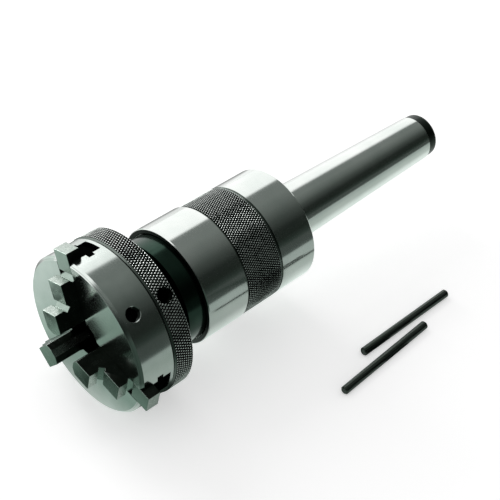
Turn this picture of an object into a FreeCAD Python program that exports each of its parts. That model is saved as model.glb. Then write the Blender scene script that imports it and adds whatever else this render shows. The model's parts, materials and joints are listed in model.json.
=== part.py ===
import FreeCAD, Part
import math
import os

# Revolving centre for a lathe tailstock with a small three jaw self centring chuck on its spindle.
# Row frame: origin at the centre of the Morse taper's gauge plane, +X towards the chuck's face, +Z up.
# All lengths are in millimetres, and all angles in degrees, counted about +X from +Y towards +Z.

# Clearances between pieces
SEAT_GAP = 0.02
TURN_GAP = 0.08
SLIDE_GAP = 0.1
AIR_GAP = 0.3

# Morse taper number 3 shank
GAUGE_D = 23.825
TAPER_PER_DIAMETER = 19.922
SHANK_LENGTH = 81.0
END_BAND = 5.5
END_BAND_DROP = 0.25
END_ROUND = 1.6
CENTRE_HOLE_R = 2.5
GAUGE_STANDOFF = 5.0
NECK_LENGTH = 6.0
NECK_RELIEF = 0.9
NECK_R = GAUGE_D / 2 - NECK_RELIEF

# Housing, collar and sleeve, built up in walls from the two bearing bores
REAR_BORE_R = 13.0
FRONT_BORE_R = 17.5
TUBE_WALL = 3.5
TUBE_R = FRONT_BORE_R + TUBE_WALL
BACK_WALL = 3.5
REAR_CYLINDER_LENGTH = 17.9
REAR_CYLINDER_WALL = 3.25
REAR_CYLINDER_R = TUBE_R + REAR_CYLINDER_WALL
HOUSING_CHAMFER = 0.8
COLLAR_LENGTH = 18.9
COLLAR_WALL = 3.1
COLLAR_R = TUBE_R + COLLAR_WALL
COLLAR_CHAMFER = 0.5
SLEEVE_LENGTH = 19.9
SLEEVE_WALL = 3.7
SLEEVE_R = TUBE_R + SLEEVE_WALL
SLEEVE_CHAMFER = 0.35
SLEEVE_LIP = 4.9
LIP_WALL = 2.1

# Rear bearing, 10 x 26 x 8 deep groove
REAR_SHAFT_R = 5.0
REAR_BEARING_WIDTH = 8.0
REAR_BALL_R = 1.9
REAR_BALLS = 8
REAR_PITCH_R = (REAR_SHAFT_R + REAR_BORE_R) / 2
PRELOAD_DEPTH = 2.5
PRELOAD_SHEET = 0.6

# Thrust bearing, 17 x 35 x 12, on the front journal
FRONT_SHAFT_R = 8.5
THRUST_WIDTH = 12.0
THRUST_WASHER = 3.6
THRUST_BALL_R = 3.0
THRUST_BALLS = 11
THRUST_PITCH_R = (FRONT_SHAFT_R + FRONT_BORE_R) / 2
THRUST_CAGE = 1.6

# Front bearing, 17 x 35 x 10 deep groove
FRONT_BEARING_WIDTH = 10.0
FRONT_BALL_R = 2.4
FRONT_BALLS = 10
FRONT_PITCH_R = (FRONT_SHAFT_R + FRONT_BORE_R) / 2
SPACER_WIDTH = 1.0
RING_WALL = 2.9
BALL_PLAY = 0.1

# Retaining rings and the seal
CIRCLIP_WIDTH = 1.1
CIRCLIP_DEPTH = 1.1
CIRCLIP_BAND = 1.7
CIRCLIP_OPEN = 50.0
SEAL_WIDTH = 1.4

# Spindle
SHOULDER_STEP = 2.3
SHOULDER_R = FRONT_SHAFT_R + SHOULDER_STEP
WAIST_STEP = 2.0
WAIST_R = REAR_SHAFT_R + WAIST_STEP
DRUM_R = SLEEVE_R - LIP_WALL - AIR_GAP
DRUM_PROUD = 7.8
DRUM_CONE = 1.8
BOSS_R = 17.5
BOSS_LENGTH = 2.9
BOSS_CHAMFER = 0.5
NOSE_R = 6.9
NOSE_LENGTH = 14.0

# Chuck
CHUCK_R = 32.5
FACE_CHAMFER = 1.25
RIM_CHAMFER = 0.6
WEB_DEPTH = 11.2
RIM_WALL = 3.9
SCROLL_CAVITY_R = CHUCK_R - RIM_WALL
THROUGH_BORE_STEP = 1.1
THROUGH_BORE_R = NOSE_R + THROUGH_BORE_STEP
THROUGH_BORE_DEPTH = 8.0
PLATE_INSET = 5.0
PLATE_R = CHUCK_R - PLATE_INSET
PLATE_THICKNESS = 4.2
PLATE_STEP = 2.6
SCREW_R = 1.5
SCREW_HEAD_R = 2.75
SCREW_HEAD = 3.0
SCREW_LENGTH = 8.0
SCREW_LAND = 3.4
SCREW_CIRCLE_R = NOSE_R + SCREW_LAND
HUB_LAND = 2.7
HUB_R = SCREW_CIRCLE_R + HUB_LAND
HEX_KEY_R = 1.4
HEX_KEY_DEPTH = 1.6
FIRST_JAW_ANGLE = 105.0
JAWS = 3

# Scroll ring
RING_WIDTH = 8.7
RING_PROUD = 0.2
RING_R = CHUCK_R + RING_PROUD
RING_CHAMFER = 0.6
SCROLL_DISC_R = SCROLL_CAVITY_R - AIR_GAP
SCROLL_PITCH = 3.5
THREAD_WIDTH = 1.4
THREAD_HEIGHT = 2.2
THREAD_SINK = 0.3
THREAD_MARGIN = 0.5
THREAD_INNER_R = HUB_R + THREAD_MARGIN + THREAD_WIDTH / 2
THREAD_OUTER_R = SCROLL_DISC_R - THREAD_MARGIN - THREAD_WIDTH / 2
ARCS_PER_TURN = 12

# Tommy bar holes and the two bars
TOMMY_HOLE_R = 2.1
TOMMY_HOLE_DEPTH = 7.0
TOMMY_SINK_R = 3.05
TOMMY_BODY_DEPTH = 5.9
BAR_R = 1.75
BAR_LENGTH = 51.0
BAR_CHAMFER = 0.5
BAR_MIDDLES = ((-10.6, 55.6), (10.3, 63.4))
BAR_TURNS = (0.0, 3.1)

# Jaws
JAW_GRIP_R = 7.2
JAW_OVERHANG = 3.7
JAW_LENGTH = CHUCK_R + JAW_OVERHANG - JAW_GRIP_R
JAW_HALF = 4.1
TONGUE_SIDE = 2.1
TONGUE_HALF = JAW_HALF + TONGUE_SIDE
TONGUE_THICKNESS = 2.5
LEDGE = 1.2
TONGUE_TOP = WEB_DEPTH - LEDGE - TONGUE_THICKNESS - SLIDE_GAP
FOOT_SIDE = 0.5
FOOT_HALF = JAW_HALF + FOOT_SIDE
FOOT_DEPTH = WEB_DEPTH + THREAD_HEIGHT
STEP_HEIGHTS = (11.0, 5.5, 0.0)
STEP_LENGTHS = (9.3, 9.8)
TIP_LAND_HALF = 1.5
RELIEF_DEPTH = 0.6
RELIEF_WIDTH = 2.2
OVERHANG_DEPTH = 5.5
JAW_FOOT_INSET = 0.4
JAW_FOOT_R = CHUCK_R - JAW_FOOT_INSET
TOOTH_WIDTH = 1.1
TOOTH_GAP = 0.8
JAW_CLOSING = 6.0
TOOTH_START = HUB_R + JAW_CLOSING + TOOTH_GAP
REAR_LAND = 2.1
CHUCK_DEPTH = FOOT_DEPTH + REAR_LAND

# Places along the axis, each worked out from the pieces behind it
X_REAR_FACE = GAUGE_STANDOFF + NECK_LENGTH
X_COLLAR = X_REAR_FACE + REAR_CYLINDER_LENGTH
X_SLEEVE = X_COLLAR + COLLAR_LENGTH
X_SLEEVE_FRONT = X_SLEEVE + SLEEVE_LENGTH
X_TUBE_FRONT = X_SLEEVE_FRONT - SLEEVE_LIP
X_BACK_WALL = X_REAR_FACE + BACK_WALL
X_REAR_BEARING = X_BACK_WALL + PRELOAD_DEPTH
X_FRONT_BEARING = X_TUBE_FRONT - SEAL_WIDTH - CIRCLIP_WIDTH - 2 * SLIDE_GAP - FRONT_BEARING_WIDTH
X_THRUST = X_FRONT_BEARING - SPACER_WIDTH - THRUST_WIDTH
X_DRUM = X_TUBE_FRONT + AIR_GAP
X_DRUM_EDGE = X_SLEEVE_FRONT + DRUM_PROUD
X_BOSS = X_DRUM_EDGE + DRUM_CONE
X_PLATE = X_BOSS + BOSS_LENGTH
X_HUB_BACK = X_PLATE + PLATE_THICKNESS
X_RING = X_PLATE + PLATE_STEP
X_BODY_BACK = X_RING + RING_WIDTH + SLIDE_GAP
X_FACE = X_BODY_BACK + CHUCK_DEPTH
X_SCROLL_DISC = X_FACE - WEB_DEPTH - THREAD_HEIGHT - 2 * SLIDE_GAP

AXIS = FreeCAD.Vector(1, 0, 0)
ORIGIN = FreeCAD.Vector(0, 0, 0)


def save(name, shape):
    """Writes one sub-part, and says what it holds."""
    if not shape.isValid():
        shape.fix(0.001, 0.001, 0.001)
    solids = shape.Solids
    keep = solids[0] if len(solids) == 1 else Part.makeCompound(solids)
    keep.exportStep("parts/%s.step" % name)
    print("%-22s %d solid(s)  volume %.1f" % (name, len(solids), keep.Volume))


def turned(profile):
    """Turns a closed outline of (x, radius) points about the X axis."""
    points = [FreeCAD.Vector(x, 0, r) for x, r in profile]
    face = Part.Face(Part.makePolygon(points + points[:1]))
    return face.revolve(ORIGIN, AXIS, 360)


def ring(x0, x1, inner_r, outer_r, chamfer=0.0):
    """A ring from x0 to x1 with its four edges chamfered."""
    c = chamfer
    if c == 0:
        return turned([(x0, inner_r), (x1, inner_r), (x1, outer_r), (x0, outer_r)])
    return turned([(x0, inner_r + c), (x0 + c, inner_r), (x1 - c, inner_r), (x1, inner_r + c),
                   (x1, outer_r - c), (x1 - c, outer_r), (x0 + c, outer_r), (x0, outer_r - c)])


def rod(x0, x1, radius):
    """A plain cylinder along X."""
    return Part.makeCylinder(radius, x1 - x0, FreeCAD.Vector(x0, 0, 0), AXIS)


def about_axis(shape, angle):
    """A copy of a shape, turned about the X axis."""
    copy = shape.copy()
    copy.rotate(ORIGIN, AXIS, angle)
    return copy


def tommy_cutter(x, outer_r, angle):
    """A blind radial hole for a tommy bar, with a countersunk mouth and a drilled bottom."""
    sink = TOMMY_SINK_R - TOMMY_HOLE_R
    bottom = outer_r - TOMMY_HOLE_DEPTH
    radial = FreeCAD.Vector(0, 1, 0)
    hole = Part.makeCylinder(TOMMY_HOLE_R, TOMMY_HOLE_DEPTH + 1.0, FreeCAD.Vector(x, bottom, 0), radial)
    mouth_r = TOMMY_SINK_R + 1.0
    mouth = Part.makeCone(TOMMY_HOLE_R, mouth_r, mouth_r - TOMMY_HOLE_R, FreeCAD.Vector(x, outer_r - sink, 0), radial)
    return about_axis(hole.fuse(mouth), angle)


# Stationary half: Morse shank and housing in one piece
def arbor_housing():
    """The shank, its relief neck, the rear cylinder and the bearing tube."""
    def taper_r(x):
        return GAUGE_D / 2 + x / (2 * TAPER_PER_DIAMETER)

    end_r = taper_r(-SHANK_LENGTH) - END_BAND_DROP
    band_x = -SHANK_LENGTH + END_BAND
    outside = [(-SHANK_LENGTH, 0), (-SHANK_LENGTH, end_r - END_ROUND)]
    for step in range(1, 4):
        turn = math.radians(90 * step / 4)
        outside.append((-SHANK_LENGTH + END_ROUND * (1 - math.cos(turn)),
                        end_r - END_ROUND * (1 - math.sin(turn))))
    outside += [
        (-SHANK_LENGTH + END_ROUND, end_r), (band_x - END_BAND_DROP, taper_r(band_x) - END_BAND_DROP),
        (band_x, taper_r(band_x)), (GAUGE_STANDOFF, taper_r(GAUGE_STANDOFF)),
        (GAUGE_STANDOFF + HOUSING_CHAMFER, NECK_R), (X_REAR_FACE, NECK_R),
        (X_REAR_FACE, REAR_CYLINDER_R - HOUSING_CHAMFER),
        (X_REAR_FACE + HOUSING_CHAMFER, REAR_CYLINDER_R), (X_COLLAR, REAR_CYLINDER_R),
        (X_COLLAR, TUBE_R), (X_TUBE_FRONT, TUBE_R), (X_TUBE_FRONT, FRONT_BORE_R),
        (X_THRUST, FRONT_BORE_R), (X_THRUST, REAR_BORE_R),
        (X_BACK_WALL, REAR_BORE_R), (X_BACK_WALL, 0)]
    body = turned(outside)
    groove_x = X_FRONT_BEARING + FRONT_BEARING_WIDTH + SLIDE_GAP / 2
    groove = ring(groove_x, groove_x + CIRCLIP_WIDTH + SLIDE_GAP, FRONT_BORE_R - 1, FRONT_BORE_R + CIRCLIP_DEPTH)
    centre_hole = Part.makeCone(CENTRE_HOLE_R, 0, CENTRE_HOLE_R * 1.732, FreeCAD.Vector(-SHANK_LENGTH, 0, 0), AXIS)
    return body.cut(groove).cut(centre_hole)


def knurled_collar():
    """The black ring between the two bright cylinders."""
    return ring(X_COLLAR, X_SLEEVE, TUBE_R + SEAT_GAP, COLLAR_R, COLLAR_CHAMFER)


def front_sleeve():
    """The bright sleeve, whose front lip hoods the spindle's drum."""
    bore_r = TUBE_R + SEAT_GAP
    lip_r = DRUM_R + AIR_GAP
    c = SLEEVE_CHAMFER
    return turned([
        (X_SLEEVE, bore_r), (X_TUBE_FRONT, bore_r), (X_TUBE_FRONT, lip_r), (X_SLEEVE_FRONT - c, lip_r),
        (X_SLEEVE_FRONT, lip_r + c), (X_SLEEVE_FRONT, SLEEVE_R - c), (X_SLEEVE_FRONT - c, SLEEVE_R),
        (X_SLEEVE + c, SLEEVE_R), (X_SLEEVE, SLEEVE_R - c)])


# Ball bearings
def ball_set(x, pitch_r, ball_r, count):
    """The balls of one bearing, evenly spaced."""
    balls = []
    for index in range(count):
        angle = math.radians(360.0 * index / count)
        centre = FreeCAD.Vector(x, pitch_r * math.cos(angle), pitch_r * math.sin(angle))
        balls.append(Part.makeSphere(ball_r, centre))
    return Part.makeCompound(balls)


def ball_track(x, pitch_r, ball_r):
    """The ring shaped track that the balls roll in."""
    return Part.makeTorus(pitch_r, ball_r + BALL_PLAY, FreeCAD.Vector(x, 0, 0), AXIS)


def races(x0, width, bore_r, outer_r, pitch_r, ball_r, chamfer=0.4):
    """Inner and outer ring of a deep groove bearing."""
    track = ball_track(x0 + width / 2, pitch_r, ball_r)
    wall = min(RING_WALL, pitch_r - bore_r - ball_r * 0.55, outer_r - pitch_r - ball_r * 0.55)
    inner = ring(x0, x0 + width, bore_r + SEAT_GAP, bore_r + wall, chamfer).cut(track)
    outer = ring(x0, x0 + width, outer_r - wall, outer_r - SEAT_GAP, chamfer).cut(track)
    return inner, outer


def pocket_cage(x, pitch_r, ball_r, count, half_width, half_wall, drilled_along_axis=False):
    """A cage ring with a round pocket drilled for each ball, across the ring or along the axis."""
    body = ring(x - half_width, x + half_width, pitch_r - half_wall, pitch_r + half_wall)
    pocket_r = ball_r + 2 * BALL_PLAY
    if drilled_along_axis:
        start = FreeCAD.Vector(x - half_width - 1, pitch_r, 0)
        pocket = Part.makeCylinder(pocket_r, 2 * half_width + 2, start, AXIS)
    else:
        start = FreeCAD.Vector(x, pitch_r - half_wall - 1, 0)
        pocket = Part.makeCylinder(pocket_r, 2 * half_wall + 2, start, FreeCAD.Vector(0, 1, 0))
    for index in range(count):
        body = body.cut(about_axis(pocket, 360.0 * index / count))
    return body


def thrust_washer(x0, x1, bore_r, outer_r):
    """One washer of the thrust bearing, with its track."""
    track = ball_track(X_THRUST + THRUST_WIDTH / 2, THRUST_PITCH_R, THRUST_BALL_R)
    return ring(x0, x1, bore_r, outer_r, 0.3).cut(track)


# Retaining rings, preload spring and seal
def open_ring(x0, inner_r, outer_r, middle_angle):
    """A circlip: a flat ring with a gap, and a round ear each side of the gap."""
    body = ring(x0, x0 + CIRCLIP_WIDTH, inner_r, outer_r)
    half = math.radians(CIRCLIP_OPEN / 2)
    reach = outer_r * 2
    tip = FreeCAD.Vector(x0, 0, 0)
    edge_a = FreeCAD.Vector(x0, reach * math.cos(half), reach * math.sin(half))
    edge_b = FreeCAD.Vector(x0, reach * math.cos(half), -reach * math.sin(half))
    wedge = Part.Face(Part.makePolygon([tip, edge_a, edge_b, tip])).extrude(AXIS * CIRCLIP_WIDTH)
    return about_axis(body.cut(wedge), middle_angle)


def preload_spring():
    """A coned disc spring behind the rear bearing's outer ring."""
    x0 = X_BACK_WALL + SEAT_GAP
    x1 = X_REAR_BEARING - SEAT_GAP
    outer_r = REAR_BORE_R - SLIDE_GAP
    inner_r = outer_r - 2.4
    return turned([(x0, inner_r), (x0 + PRELOAD_SHEET, inner_r),
                   (x1, outer_r), (x1 - PRELOAD_SHEET, outer_r)])


# Turning half: spindle
def spindle():
    """Rear journal, front journal, shoulder, hooded drum, boss and nose, turned in one piece."""
    tail_x = X_REAR_BEARING - CIRCLIP_WIDTH - 3 * SLIDE_GAP - 0.6
    shaft_front = X_FRONT_BEARING + FRONT_BEARING_WIDTH
    c = BOSS_CHAMFER
    nose_x = X_PLATE + NOSE_LENGTH
    body = turned([
        (tail_x, 0), (tail_x, REAR_SHAFT_R - c), (tail_x + c, REAR_SHAFT_R),
        (X_REAR_BEARING + REAR_BEARING_WIDTH, REAR_SHAFT_R), (X_REAR_BEARING + REAR_BEARING_WIDTH, WAIST_R),
        (X_THRUST - 1.0, WAIST_R), (X_THRUST, FRONT_SHAFT_R),
        (shaft_front, FRONT_SHAFT_R), (shaft_front, SHOULDER_R), (X_DRUM, SHOULDER_R),
        (X_DRUM, DRUM_R - c), (X_DRUM + c, DRUM_R), (X_DRUM_EDGE, DRUM_R),
        (X_BOSS, BOSS_R + 1.2), (X_BOSS + c, BOSS_R), (X_PLATE - c, BOSS_R), (X_PLATE, BOSS_R - c),
        (X_PLATE, NOSE_R), (nose_x - 2 * c, NOSE_R), (nose_x, NOSE_R - 2 * c), (nose_x, 0)])
    groove_x = X_REAR_BEARING - CIRCLIP_WIDTH - 1.5 * SLIDE_GAP
    groove = ring(groove_x, groove_x + CIRCLIP_WIDTH + SLIDE_GAP, REAR_SHAFT_R - 0.5, REAR_SHAFT_R + 1)
    return body.cut(groove)


# Chuck body
def slot_prism(x_top, x_bottom, half, inner_r, outer_r):
    """A radial block along +Y between two depths, as wide as twice half."""
    return Part.makeBox(x_top - x_bottom, outer_r - inner_r, 2 * half, FreeCAD.Vector(x_bottom, inner_r, -half))


def jaw_slot():
    """The stepped slot of one jaw, through the web and the rim."""
    reach = CHUCK_R + 2
    top = X_FACE - TONGUE_TOP + SLIDE_GAP
    ledge = X_FACE - TONGUE_TOP - TONGUE_THICKNESS - SLIDE_GAP
    bottom = X_FACE - FOOT_DEPTH - SLIDE_GAP
    neck = slot_prism(X_FACE + 1, top - 0.5, JAW_HALF + SLIDE_GAP, 0, reach)
    tongue = slot_prism(top, ledge, TONGUE_HALF + SLIDE_GAP, 0, reach)
    web_back = X_FACE - WEB_DEPTH
    foot = slot_prism(ledge + 0.5, web_back, FOOT_HALF + SLIDE_GAP, 0, reach)
    rim = slot_prism(web_back + 0.5, bottom, FOOT_HALF + SLIDE_GAP, HUB_R, reach)
    return neck.fuse(tongue).fuse(foot).fuse(rim)


def chuck_body():
    """The chuck's front: face, web with three slots, rim, and the hub that the scroll turns on."""
    web_back = X_FACE - WEB_DEPTH
    thread_r = NOSE_R + SEAT_GAP
    bore_end = X_FACE - THROUGH_BORE_DEPTH
    body = turned([
        (X_FACE, THROUGH_BORE_R), (X_FACE, CHUCK_R - FACE_CHAMFER), (X_FACE - FACE_CHAMFER, CHUCK_R),
        (X_BODY_BACK + RIM_CHAMFER, CHUCK_R), (X_BODY_BACK, CHUCK_R - RIM_CHAMFER),
        (X_BODY_BACK, SCROLL_CAVITY_R), (web_back, SCROLL_CAVITY_R), (web_back, HUB_R),
        (X_HUB_BACK, HUB_R), (X_HUB_BACK, thread_r), (bore_end - 1, thread_r), (bore_end, THROUGH_BORE_R)])
    slot = jaw_slot()
    for index in range(JAWS):
        angle = FIRST_JAW_ANGLE + index * 360.0 / JAWS
        body = body.cut(about_axis(slot, angle))
        body = body.cut(tommy_cutter(X_FACE - TOMMY_BODY_DEPTH, CHUCK_R, angle + 180.0 / JAWS))
        screw_hole = rod(X_HUB_BACK - 1, X_HUB_BACK + SCREW_LENGTH, SCREW_R + SEAT_GAP)
        screw_hole.translate(FreeCAD.Vector(0, SCREW_CIRCLE_R, 0))
        body = body.cut(about_axis(screw_hole, angle + 180.0 / JAWS))
    return body


def back_plate():
    """The plate that traps the scroll ring, screwed to the hub."""
    c = BOSS_CHAMFER
    plate = turned([
        (X_PLATE, NOSE_R + AIR_GAP), (X_HUB_BACK, NOSE_R + AIR_GAP), (X_HUB_BACK, PLATE_R),
        (X_PLATE + c, PLATE_R), (X_PLATE, PLATE_R - c)])
    for index in range(JAWS):
        angle = FIRST_JAW_ANGLE + (index + 0.5) * 360.0 / JAWS
        hole = rod(X_PLATE - 1, X_HUB_BACK + 1, SCREW_R + SLIDE_GAP)
        head = rod(X_PLATE - 1, X_PLATE + SCREW_HEAD + SLIDE_GAP, SCREW_HEAD_R + SLIDE_GAP)
        cutter = hole.fuse(head)
        cutter.translate(FreeCAD.Vector(0, SCREW_CIRCLE_R, 0))
        plate = plate.cut(about_axis(cutter, angle))
    return plate


def back_plate_screws():
    """Three socket head screws, flush in the plate."""
    head_x = X_PLATE + SLIDE_GAP
    seat_x = X_PLATE + SCREW_HEAD + SLIDE_GAP
    shank = rod(seat_x, X_HUB_BACK + SCREW_LENGTH - 1, SCREW_R)
    head = rod(head_x, seat_x, SCREW_HEAD_R)
    corners = []
    for index in range(6):
        turn = math.radians(60 * index)
        corners.append(FreeCAD.Vector(head_x, HEX_KEY_R * math.cos(turn), HEX_KEY_R * math.sin(turn)))
    key = Part.Face(Part.makePolygon(corners + corners[:1])).extrude(AXIS * HEX_KEY_DEPTH)
    screw = shank.fuse(head).cut(key)
    screw.translate(FreeCAD.Vector(0, SCREW_CIRCLE_R, 0))
    angles = [FIRST_JAW_ANGLE + (index + 0.5) * 360.0 / JAWS for index in range(JAWS)]
    return Part.makeCompound([about_axis(screw, angle) for angle in angles])


# Scroll ring
def thread_radius(angle):
    """Middle radius of the scroll thread at an angle, which may pass 360 degrees."""
    return THREAD_INNER_R + SCROLL_PITCH * (angle - FIRST_JAW_ANGLE) / 360.0


def scroll_thread(x0, x1):
    """The spiral ridge that drives the jaws: an Archimedean spiral of even width, drawn in short arcs."""
    turns = (THREAD_OUTER_R - THREAD_INNER_R) / SCROLL_PITCH
    arcs = int(math.ceil(turns * ARCS_PER_TURN))
    sides = []
    for offset in (-THREAD_WIDTH / 2, THREAD_WIDTH / 2):
        points = []
        for step in range(2 * arcs + 1):
            angle = FIRST_JAW_ANGLE + 360.0 * turns * step / (2 * arcs)
            radius = thread_radius(angle) + offset
            turn = math.radians(angle)
            points.append(FreeCAD.Vector(x0, radius * math.cos(turn), radius * math.sin(turn)))
        sides.append(points)
    inner, outer = sides
    edges = [Part.makeLine(inner[0], outer[0]), Part.makeLine(inner[-1], outer[-1])]
    for points in sides:
        for first in range(0, 2 * arcs, 2):
            edges.append(Part.Arc(points[first], points[first + 1], points[first + 2]).toShape())
    outline = Part.Wire(Part.__sortEdges__(edges))
    return Part.Face(outline).extrude(AXIS * (x1 - x0))


def scroll_ring():
    """Knurled hand ring with the scroll disc in front and a recess for the back plate behind."""
    bore_r = HUB_R + TURN_GAP
    c = RING_CHAMFER
    x_front = X_RING + RING_WIDTH
    recess_r = PLATE_R + AIR_GAP
    recess_x = X_HUB_BACK + SLIDE_GAP
    body = turned([
        (recess_x, bore_r), (recess_x, recess_r), (X_RING, recess_r),
        (X_RING, RING_R - c), (X_RING + c, RING_R), (x_front - c, RING_R), (x_front, RING_R - c),
        (x_front, SCROLL_DISC_R), (X_SCROLL_DISC, SCROLL_DISC_R), (X_SCROLL_DISC, bore_r)])
    thread = scroll_thread(X_SCROLL_DISC - THREAD_SINK, X_SCROLL_DISC + THREAD_HEIGHT)
    body = body.fuse(thread)
    for index in range(JAWS):
        angle = FIRST_JAW_ANGLE + (index + 0.5) * 360.0 / JAWS
        body = body.cut(tommy_cutter(X_RING + RING_WIDTH / 2, RING_R, angle))
    return body


# Jaws
def jaw_outline():
    """Side view of a jaw above its teeth: three levels, with a slanted relief cut into each inner corner."""
    tip = JAW_GRIP_R
    floor = X_FACE - WEB_DEPTH + SLIDE_GAP
    mouth = RELIEF_WIDTH / math.sqrt(2)
    near = (RELIEF_WIDTH / 2 - RELIEF_DEPTH) / math.sqrt(2)
    deep = (RELIEF_WIDTH / 2 + RELIEF_DEPTH) / math.sqrt(2)
    points = [(tip, floor), (tip, X_FACE + STEP_HEIGHTS[0])]
    place = tip
    for index, length in enumerate(STEP_LENGTHS):
        place += length
        below = X_FACE + STEP_HEIGHTS[index + 1]
        points.append((place, X_FACE + STEP_HEIGHTS[index]))
        points.append((place, below + mouth))
        points.append((place - deep, below + near))
        points.append((place + near, below - deep))
        points.append((place + mouth, below))
    points.append((tip + JAW_LENGTH, X_FACE + STEP_HEIGHTS[-1]))
    points.append((tip + JAW_LENGTH, X_FACE - OVERHANG_DEPTH))
    points.append((JAW_FOOT_R, X_FACE - OVERHANG_DEPTH))
    points.append((JAW_FOOT_R, floor))
    return points


def jaw_tooth(middle_r):
    """One crescent tooth that clears the scroll thread at every radius of its travel."""
    outer_flank_r = THREAD_INNER_R - THREAD_WIDTH
    inner_flank_r = THREAD_OUTER_R + THREAD_WIDTH
    half = TOOTH_WIDTH / 2
    x0 = X_FACE - FOOT_DEPTH
    x1 = X_FACE - WEB_DEPTH + 3 * SLIDE_GAP
    outer = Part.makeCylinder(outer_flank_r, x1 - x0, FreeCAD.Vector(x0, middle_r + half - outer_flank_r, 0), AXIS)
    inner = Part.makeCylinder(inner_flank_r, x1 - x0, FreeCAD.Vector(x0, middle_r - half - inner_flank_r, 0), AXIS)
    block = slot_prism(x1, x0, FOOT_HALF, middle_r - 3, middle_r + 2)
    return outer.cut(inner).common(block)


def jaw(index):
    """One jaw at its place, with its own set of teeth."""
    angle = FIRST_JAW_ANGLE + index * 360.0 / JAWS
    points = [FreeCAD.Vector(x, rho, -TONGUE_HALF) for rho, x in jaw_outline()]
    blank = Part.Face(Part.makePolygon(points + points[:1])).extrude(FreeCAD.Vector(0, 0, 2 * TONGUE_HALF))
    far = JAW_GRIP_R + JAW_LENGTH + 1
    top = X_FACE + STEP_HEIGHTS[0] + 1
    tongue_top = X_FACE - TONGUE_TOP
    tongue_bottom = tongue_top - TONGUE_THICKNESS
    body = slot_prism(top, tongue_top - 0.5, JAW_HALF, 0, far)
    tongue = slot_prism(tongue_top, tongue_bottom, TONGUE_HALF, 0, far)
    foot = slot_prism(tongue_bottom + 0.5, X_FACE - FOOT_DEPTH, FOOT_HALF, 0, far)
    shape = blank.common(body.fuse(tongue).fuse(foot))
    spare = SCROLL_PITCH * index / JAWS
    middle = THREAD_INNER_R + SCROLL_PITCH / 2 + spare
    while middle < TOOTH_START + TOOTH_WIDTH / 2:
        middle += SCROLL_PITCH
    while middle + TOOTH_WIDTH / 2 < JAW_FOOT_R:
        shape = shape.fuse(jaw_tooth(middle))
        middle += SCROLL_PITCH
    length = 2 * CHUCK_R
    for side in (-1, 1):
        corner = FreeCAD.Vector(X_FACE - CHUCK_DEPTH, JAW_GRIP_R, side * TIP_LAND_HALF)
        wedge = Part.makeBox(length, length, length)
        wedge.translate(FreeCAD.Vector(0, -length, 0 if side > 0 else -length))
        wedge.rotate(ORIGIN, AXIS, -30 * side)
        wedge.translate(corner)
        shape = shape.cut(wedge)
    return about_axis(shape.removeSplitter(), angle)


# Tommy bars
def tommy_bar(middle, turn):
    """A round bar with chamfered ends, lying on the bench beside the chuck."""
    half = BAR_LENGTH / 2
    c = BAR_CHAMFER
    bar = turned([(-half, 0), (-half, BAR_R - c), (-half + c, BAR_R), (half - c, BAR_R), (half, BAR_R - c), (half, 0)])
    bar.rotate(ORIGIN, FreeCAD.Vector(0, 0, 1), turn)
    bar.translate(FreeCAD.Vector(middle[0], middle[1], BAR_R - RING_R))
    return bar


os.makedirs("parts", exist_ok=True)

save("arbor_housing", arbor_housing())
save("knurled_collar", knurled_collar())
save("front_sleeve", front_sleeve())
save("preload_spring", preload_spring())

rear_inner, rear_outer = races(X_REAR_BEARING, REAR_BEARING_WIDTH, REAR_SHAFT_R, REAR_BORE_R,
                               REAR_PITCH_R, REAR_BALL_R)
rear_middle = X_REAR_BEARING + REAR_BEARING_WIDTH / 2
save("rear_inner_race", rear_inner)
save("rear_outer_race", rear_outer)
save("rear_balls", ball_set(rear_middle, REAR_PITCH_R, REAR_BALL_R, REAR_BALLS))
save("rear_cage", pocket_cage(rear_middle, REAR_PITCH_R, REAR_BALL_R, REAR_BALLS, REAR_BALL_R + 0.7, 0.6))

thrust_middle = X_THRUST + THRUST_WIDTH / 2
thrust_front = X_THRUST + THRUST_WIDTH
save("thrust_housing_washer", thrust_washer(X_THRUST, X_THRUST + THRUST_WASHER,
                                            FRONT_SHAFT_R + 1.0, FRONT_BORE_R - SEAT_GAP))
save("thrust_shaft_washer", thrust_washer(thrust_front - THRUST_WASHER, thrust_front,
                                          FRONT_SHAFT_R + SEAT_GAP, FRONT_BORE_R - 0.5))
save("thrust_balls", ball_set(thrust_middle, THRUST_PITCH_R, THRUST_BALL_R, THRUST_BALLS))
save("thrust_cage", pocket_cage(thrust_middle, THRUST_PITCH_R, THRUST_BALL_R, THRUST_BALLS,
                                THRUST_CAGE / 2, THRUST_BALL_R + 0.8, True))

front_inner, front_outer = races(X_FRONT_BEARING, FRONT_BEARING_WIDTH, FRONT_SHAFT_R, FRONT_BORE_R,
                                 FRONT_PITCH_R, FRONT_BALL_R)
front_middle = X_FRONT_BEARING + FRONT_BEARING_WIDTH / 2
save("front_inner_race", front_inner)
save("front_outer_race", front_outer)
save("front_balls", ball_set(front_middle, FRONT_PITCH_R, FRONT_BALL_R, FRONT_BALLS))
save("front_cage", pocket_cage(front_middle, FRONT_PITCH_R, FRONT_BALL_R, FRONT_BALLS, FRONT_BALL_R + 0.7, 0.7))
save("bearing_spacer", ring(X_FRONT_BEARING - SPACER_WIDTH, X_FRONT_BEARING,
                            FRONT_SHAFT_R + SEAT_GAP, FRONT_SHAFT_R + RING_WALL))

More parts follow.
